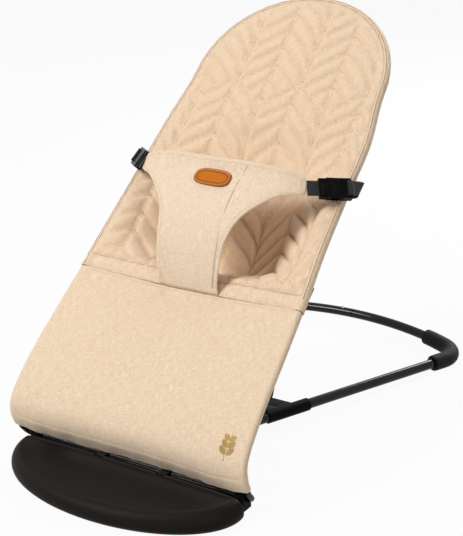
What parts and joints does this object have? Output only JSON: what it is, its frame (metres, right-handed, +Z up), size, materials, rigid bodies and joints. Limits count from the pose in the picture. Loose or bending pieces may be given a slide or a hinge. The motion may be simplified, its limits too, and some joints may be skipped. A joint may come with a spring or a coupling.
{
  "type": "baby bouncer",
  "caption": "Folding baby bouncer: a sprung wire seat with a quilted cover and buckled restraint panel, propped on a tubular base with a moulded foot plate.",
  "frame": {"origin": "on the floor, under the middle of the outline, with the seat at its lowest notch", "axes": "+Z up, +Y to the rear of the bouncer (foot plate at -Y), +X to the right of a person who looks at it from the front"},
  "size_m": [0.4084, 0.704, 0.5289],
  "materials": {
    "black_plastic": "satin moulded plastic",
    "black_enamel": "gloss black enamel",
    "black_rubber": "matt rubber",
    "black_webbing": "woven webbing",
    "sand_cloth": "plain woven cotton",
    "quilted_cloth": "quilted cotton",
    "tan_leather": "smooth leather",
    "zinc_steel": "zinc plated"
  },
  "bodies": {
    "base": {"foot_plate_cover": "black_plastic", "foot_plate_base": "black_plastic", "plate_screw_1": "zinc_steel", "plate_screw_2": "zinc_steel", "plate_screw_3": "zinc_steel", "plate_screw_4": "zinc_steel", "foot_pad_left": "black_rubber", "foot_pad_right": "black_rubber", "foot_pad_front": "black_rubber", "hinge_bush_left": "black_plastic", "hinge_bush_right": "black_plastic", "hinge_clip_left": "black_plastic", "hinge_clip_right": "black_plastic", "side_tube_left": "black_enamel", "side_tube_right": "black_enamel", "rear_tube_left": "black_enamel", "rear_tube_right": "black_enamel", "corner_grip_left": "black_rubber", "corner_grip_right": "black_rubber", "recline_adjuster": "black_plastic", "adjuster_screw_left": "zinc_steel", "adjuster_screw_right": "zinc_steel"},
    "seat": {"seat_frame": "black_enamel", "cover_lower_panel": "sand_cloth", "cover_frame_tunnel": "sand_cloth", "cover_back_sling": "sand_cloth", "cover_waist_band": "sand_cloth", "quilted_pad": "quilted_cloth", "restraint_panel": "sand_cloth", "leather_patch": "tan_leather", "panel_strap_left": "black_webbing", "panel_strap_right": "black_webbing", "buckle_socket_left": "black_plastic", "buckle_socket_right": "black_plastic", "frame_strap_left": "black_webbing", "frame_strap_right": "black_webbing", "bow_saddle_left": "black_plastic", "bow_saddle_right": "black_plastic"},
    "bow": {"support_bow": "black_enamel", "bow_foot_sleeve": "black_rubber"},
    "plug_left": {"buckle_plug_left": "black_plastic"},
    "plug_right": {"buckle_plug_right": "black_plastic"},
    "tube_button": {"rear_tube_button": "zinc_steel"}
  },
  "joints": [
    {"name": "seat_recline", "type": "hinge", "parent": "base", "child": "seat", "pos_m": [0, -0.24, 0.0235], "axis": [1, 0, 0], "range_deg": [-36, 5]},
    {"name": "bow_swing", "type": "hinge", "parent": "seat", "child": "bow", "pos_m": [0, -0.08344, 0.22344], "axis": [1, 0, 0], "range_deg": [-12, 83]},
    {"name": "buckle_left", "type": "slide", "parent": "seat", "child": "plug_left", "axis": [0.694, -0.7119, 0.1069], "range_m": [0, 0.014]},
    {"name": "buckle_right", "type": "slide", "parent": "seat", "child": "plug_right", "axis": [-0.694, -0.7119, 0.1069], "range_m": [0, 0.014]},
    {"name": "rear_tube_snap", "type": "slide", "parent": "base", "child": "tube_button", "axis": [0, 0, 1], "range_m": [-0.003, 0], "stiffness_N_per_m": 600}
  ],
  "couplings": [
    {"joint": "bow_swing", "follows": "seat_recline", "ratio": -2.3}
  ]
}
